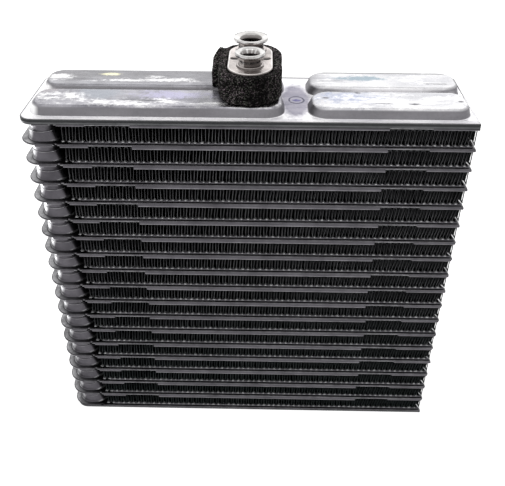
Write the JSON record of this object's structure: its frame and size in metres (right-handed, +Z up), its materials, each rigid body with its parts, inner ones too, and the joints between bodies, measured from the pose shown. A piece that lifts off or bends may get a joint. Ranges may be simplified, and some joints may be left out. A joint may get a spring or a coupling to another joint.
{
  "type": "evaporator core",
  "caption": "Brazed aluminium air-conditioning evaporator core: stacked flat tubes and corrugated fins, a tank at one end, and a foam-wrapped fitting block with two pipe stubs on top.",
  "frame": {"origin": "centre of the bottom side plate's lower face", "axes": "+X along the flat tubes away from the tank drums, +Y from the front face to the rear face, +Z up the stack towards the pipe stubs"},
  "size_m": [0.2524, 0.065, 0.2575],
  "materials": {
    "tube_sheet": "brazed, dull",
    "fin_sheet": "thin coated strip, dull",
    "plate_sheet": "brazed, satin",
    "cover_sheet": "pressed, bright satin",
    "machined_fitting": "machined, bright",
    "seal_foam": "open-cell foam, matt black"
  },
  "bodies": {
    "root": {"side_plate_bottom": "plate_sheet", "end_plate_bottom": "tube_sheet", "flat_tube_01": "tube_sheet", "flat_tube_02": "tube_sheet", "flat_tube_03": "tube_sheet", "flat_tube_04": "tube_sheet", "flat_tube_05": "tube_sheet", "flat_tube_06": "tube_sheet", "flat_tube_07": "tube_sheet", "flat_tube_08": "tube_sheet", "flat_tube_09": "tube_sheet", "flat_tube_10": "tube_sheet", "flat_tube_11": "tube_sheet", "flat_tube_12": "tube_sheet", "flat_tube_13": "tube_sheet", "flat_tube_14": "tube_sheet", "flat_tube_15": "tube_sheet", "flat_tube_16": "tube_sheet", "flat_tube_17": "tube_sheet", "fin_strip_01": "fin_sheet", "fin_strip_02": "fin_sheet", "fin_strip_03": "fin_sheet", "fin_strip_04": "fin_sheet", "fin_strip_05": "fin_sheet", "fin_strip_06": "fin_sheet", "fin_strip_07": "fin_sheet", "fin_strip_08": "fin_sheet", "fin_strip_09": "fin_sheet", "fin_strip_10": "fin_sheet", "fin_strip_11": "fin_sheet", "fin_strip_12": "fin_sheet", "fin_strip_13": "fin_sheet", "fin_strip_14": "fin_sheet", "fin_strip_15": "fin_sheet", "fin_strip_16": "fin_sheet", "fin_strip_17": "fin_sheet", "fin_strip_18": "fin_sheet", "end_plate_top": "tube_sheet", "side_plate_top": "plate_sheet", "manifold_cover": "cover_sheet", "fitting_block": "machined_fitting", "inlet_stub": "machined_fitting", "outlet_stub": "machined_fitting", "foam_seal": "seal_foam"}
  },
  "joints": []
}
